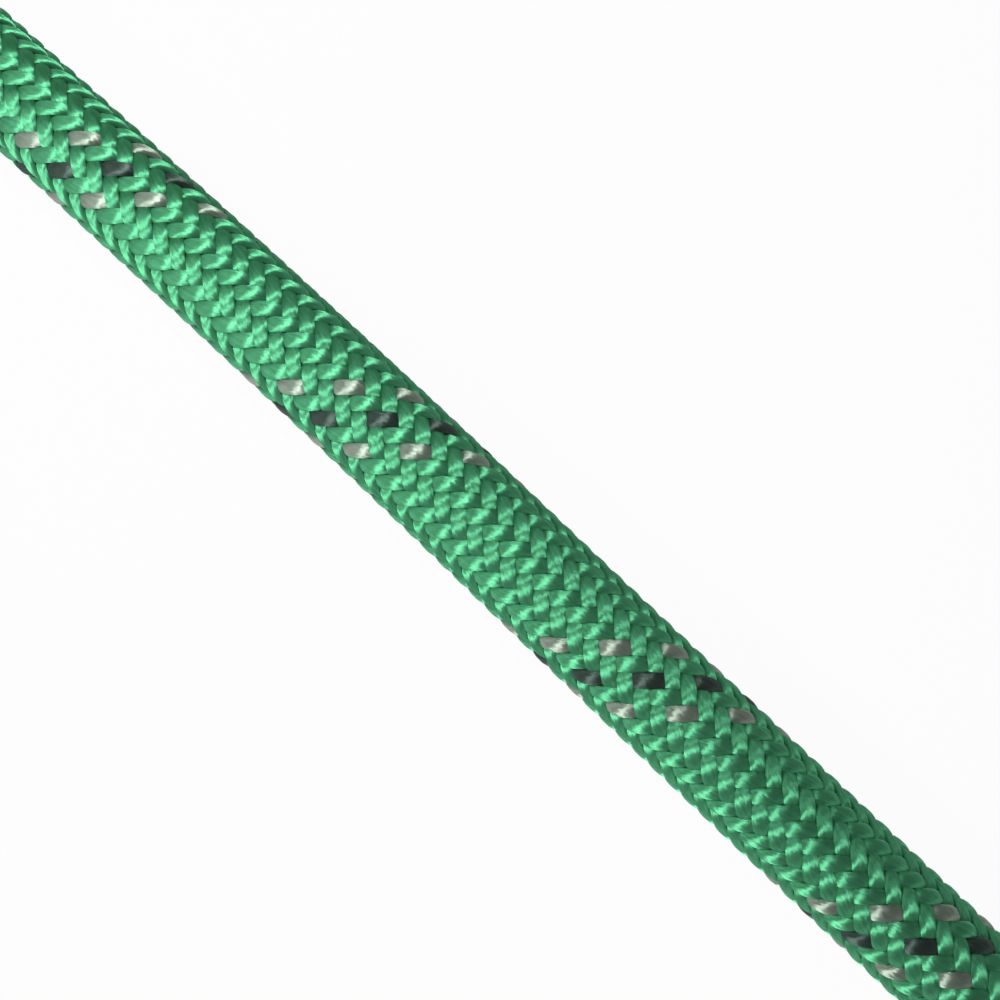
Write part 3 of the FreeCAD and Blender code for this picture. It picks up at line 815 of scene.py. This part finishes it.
def band(line, outward, width, thickness, angle):
    """A strip of webbing with eased edges, bent along a line in the coil's section at an angle."""
    across, lift = rounded_section(STRAP_COLUMNS, *STRAP_SECTION)
    across = across * width / 2
    lift = lift * thickness / 2
    out = line[:, None, :] + outward[:, None, :] * lift[None, :, None]
    away, aside = strap_ways(angle)
    rings = out[:, :, :1] * away + out[:, :, 1:] * UP + across[None, :, None] * aside
    girth = np.append(across, across[0]) / MM
    u, v = np.meshgrid(run_length(line) / MM, girth, indexing="ij")
    return {"rings": rings + COIL_CENTRE, "maps": {"weave": np.stack([u, v], -1)}}


def stitch(place, ahead, outward, across, angle, crosswise):
    """One stitch: a short rounded thread lying on the strap."""
    away, aside = strap_ways(angle)
    centre = place[0] * away + place[1] * UP + across * aside + COIL_CENTRE
    run = ahead[0] * away + ahead[1] * UP
    out = outward[0] * away + outward[1] * UP
    run, side = (aside, run) if crosswise else (run, aside)
    line = centre + run * STITCH_STEPS[:, None] * STITCH_REACH
    line = line + out * (np.cos(STITCH_STEPS * STITCH_BEND)[:, None] * STITCH_ARCH)
    ring = circle(side[None, :], out[None, :], STITCH_COLUMNS)
    rings = line[:, None, :] + ring * (STITCH_GIRTHS * STITCH_RADIUS)[:, None, None]
    blank = np.zeros((len(STITCH_STEPS), STITCH_COLUMNS + 1, 2))
    return {"rings": rings, "maps": {"weave": blank}, "slot": 1}


def lap_stitches(line, ahead, outward, near, reach, width, angle):
    """Two rows of stitches along the overlap, and four across it."""
    tubes = []
    inner, outer = -reach + STITCH_PITCH, reach - STITCH_PITCH
    for row in (-1, 1):
        across = row * (width / 2 - ROW_MARGIN)
        for step in range(inner + 1, outer, STITCH_PITCH):
            spot = (near + step) % len(line)
            tubes.append(stitch(line[spot], ahead[spot], outward[spot], across, angle, False))
    for step in (inner, -STITCH_PITCH, STITCH_PITCH, outer):
        spot = (near + step) % len(line)
        for across in CROSS_ROW:
            tubes.append(stitch(line[spot], ahead[spot], outward[spot], across * MM, angle, True))
    return tubes


def make_strap(number, angle):
    """A strap: a closed band flush with the turns, and its stitched overlap on the outer slope."""
    outline = section_outline()
    loop, _, outward = rounded_loop(outline, TIE_THICKNESS / 2)
    middle = np.array([COIL_OUTER - SLOPE_RUN, COIL_HEIGHT])
    seam = int(np.argmin(np.linalg.norm(loop - middle, axis=1)))
    order = np.append(np.roll(np.arange(len(loop)), -seam), seam)
    tubes = [band(loop[order], outward[order], TIE_WIDTH, TIE_THICKNESS, angle)]
    lap, ahead, outward = rounded_loop(outline, -LAP_THICKNESS / 2 + LAP_SINK)
    reach = int(LAP_LENGTH / MM / 2)
    near = int(np.argmin(np.linalg.norm(lap - middle, axis=1)))
    span = np.arange(near - reach, near + reach + 1) % len(lap)
    width = TIE_WIDTH - 2 * LAP_MARGIN
    tubes.append(band(lap[span], outward[span], width, LAP_THICKNESS, angle))
    top = lap + outward * (LAP_THICKNESS / 2 + STITCH_LIFT)
    tubes.extend(lap_stitches(top, ahead, outward, near, reach, width, angle))
    strap = lofted(f"strap_{number}", tubes, [WEBBING, STITCH])
    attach(strap, "root")
    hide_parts(f"coil_tie_{number}")


# The rope's pieces

cord = make_cord()
braid = make_braid()
for piece in braid:
    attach(piece, "root")
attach(cord, "root")
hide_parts("coil", "inner_end_rope")
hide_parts("sheath")
make_core()
for number, angle in enumerate(TIE_ANGLES, start=1):
    make_strap(number, angle)


def dress(name, material):
    """Gives one of the solids' own pieces its material."""
    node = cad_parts[name]
    node.data.materials.clear()
    node.data.materials.append(material)


for name in ("free_end", "inner_end"):
    dress(f"{name}_sleeve", SLEEVE)
    dress(f"{name}_tip", FUSED)

# The floor, the lights and the camera
FLOOR_REACH = 6.0
WALL_HEIGHT = 3.0
FLOOR_SIDES = 64
FLOOR_DROP = 0.05 * MM
FLOOR_COLOUR = (0.45, 0.45, 0.45)
FLOOR_GLOW = 0.96
WORLD_STRENGTH = 0.11
SPOT_RADIUS = 25 * MM


def floor_material():
    """White by itself to the camera and in reflections, but for a small share that takes shadow."""
    surface = Surface("floor_white")
    surface.shade({"Base Color": FLOOR_COLOUR, "Roughness": 1.0, "Specular IOR Level": 0.0})
    glow = surface.nodes.new("ShaderNodeEmission")
    glow.inputs["Strength"].default_value = 1.0
    rays = surface.nodes.new("ShaderNodeLightPath")
    seen = surface.formula("ADD", rays.outputs["Is Camera Ray"], rays.outputs["Is Glossy Ray"])
    seen = surface.formula("ADD", seen, rays.outputs["Is Transmission Ray"])
    mix = surface.nodes.new("ShaderNodeMixShader")
    surface.links.new(surface.formula("MULTIPLY", seen, FLOOR_GLOW), mix.inputs["Fac"])
    surface.links.new(surface.shader.outputs["BSDF"], mix.inputs[1])
    surface.links.new(glow.outputs["Emission"], mix.inputs[2])
    surface.links.new(mix.outputs["Shader"], surface.nodes["Material Output"].inputs["Surface"])
    return surface.material


def make_floor():
    """A round white floor with a white wall round it."""
    mesh = bpy.data.meshes.new("floor")
    angles = 2 * np.pi * np.arange(FLOOR_SIDES) / FLOOR_SIDES
    edge = np.stack([FLOOR_REACH * np.cos(angles), FLOOR_REACH * np.sin(angles), 0 * angles], -1)
    points = np.concatenate([edge, edge + WALL_HEIGHT * UP])
    faces = [tuple(range(FLOOR_SIDES))]
    for side in range(FLOOR_SIDES):
        after = (side + 1) % FLOOR_SIDES
        faces.append((side, side + FLOOR_SIDES, after + FLOOR_SIDES, after))
    mesh.from_pydata(points.tolist(), [], faces)
    mesh.materials.append(floor_material())
    floor = bpy.data.objects.new("floor", mesh)
    floor.location.z = -FLOOR_DROP
    bpy.context.collection.objects.link(floor)


def add_light(name, data, place, target):
    light = bpy.data.objects.new(name, data)
    aim = Vector(target) - Vector(place)
    light.location = place
    light.rotation_euler = aim.to_track_quat("-Z", "Y").to_euler()
    bpy.context.collection.objects.link(light)


def spot_light(name, place, target, cone, blend, power):
    """A lamp that lights a round patch, cone degrees wide."""
    data = bpy.data.lights.new(name, "SPOT")
    data.energy = power
    data.spot_size = math.radians(cone)
    data.spot_blend = blend
    data.shadow_soft_size = SPOT_RADIUS
    add_light(name, data, place, target)


def area_light(name, place, target, size, power):
    data = bpy.data.lights.new(name, "AREA")
    data.shape = "DISK"
    data.size = size
    data.energy = power
    add_light(name, data, place, target)


def make_lights():
    """The main lamp, two that brighten the rope's upper left, and two for the coil alone."""
    area_light(
        "key",
        place=(-246 * MM, -362 * MM, 388 * MM),
        target=(0.0, -155.5 * MM, ROPE_RADIUS),
        size=130 * MM,
        power=1.7,
    )
    area_light(
        "fill",
        place=(-120 * MM, -105 * MM, 115 * MM),
        target=(-35 * MM, -120 * MM, 5 * MM),
        size=110 * MM,
        power=0.07,
    )
    spot_light(
        "upper_left_spot",
        place=(40 * MM, -20 * MM, 500 * MM),
        target=(-46 * MM, -110 * MM, 5 * MM),
        cone=24,
        blend=1.0,
        power=6.8,
    )
    spot_light(
        "coil_spot",
        place=(0.0, COIL_CENTRE[1], 1.2),
        target=COIL_CENTRE,
        cone=16.2,
        blend=0.1,
        power=16.0,
    )
    area_light(
        "coil_back",
        place=(90 * MM, 700 * MM, 150 * MM),
        target=(0.0, 75 * MM, 50 * MM),
        size=250 * MM,
        power=1.4,
    )


def make_world():
    world = bpy.data.worlds.new("world")
    bpy.context.scene.world = world
    world.use_nodes = True
    background = world.node_tree.nodes["Background"]
    background.inputs["Color"].default_value = (1.0, 1.0, 1.0, 1.0)
    background.inputs["Strength"].default_value = WORLD_STRENGTH


# The camera looks down on the free end from close by, as the photograph's arcs and taper say.
CAMERA_PLACE = (0.0, -165.50 * MM, 129.03 * MM)
CAMERA_TURN = (6.521, 2.504, -3.806)
CAMERA_LENS = 52.911
CAMERA_SENSOR = 36.0
CAMERA_CLIP = 0.01


def make_camera():
    data = bpy.data.cameras.new("camera")
    data.lens = CAMERA_LENS
    data.sensor_width = CAMERA_SENSOR
    data.clip_start = CAMERA_CLIP
    camera = bpy.data.objects.new("camera", data)
    camera.location = CAMERA_PLACE
    camera.rotation_euler = [math.radians(angle) for angle in CAMERA_TURN]
    bpy.context.collection.objects.link(camera)
    bpy.context.scene.camera = camera


make_floor()
make_world()
make_lights()
make_camera()
scene = bpy.context.scene
scene.view_settings.view_transform = "Standard"
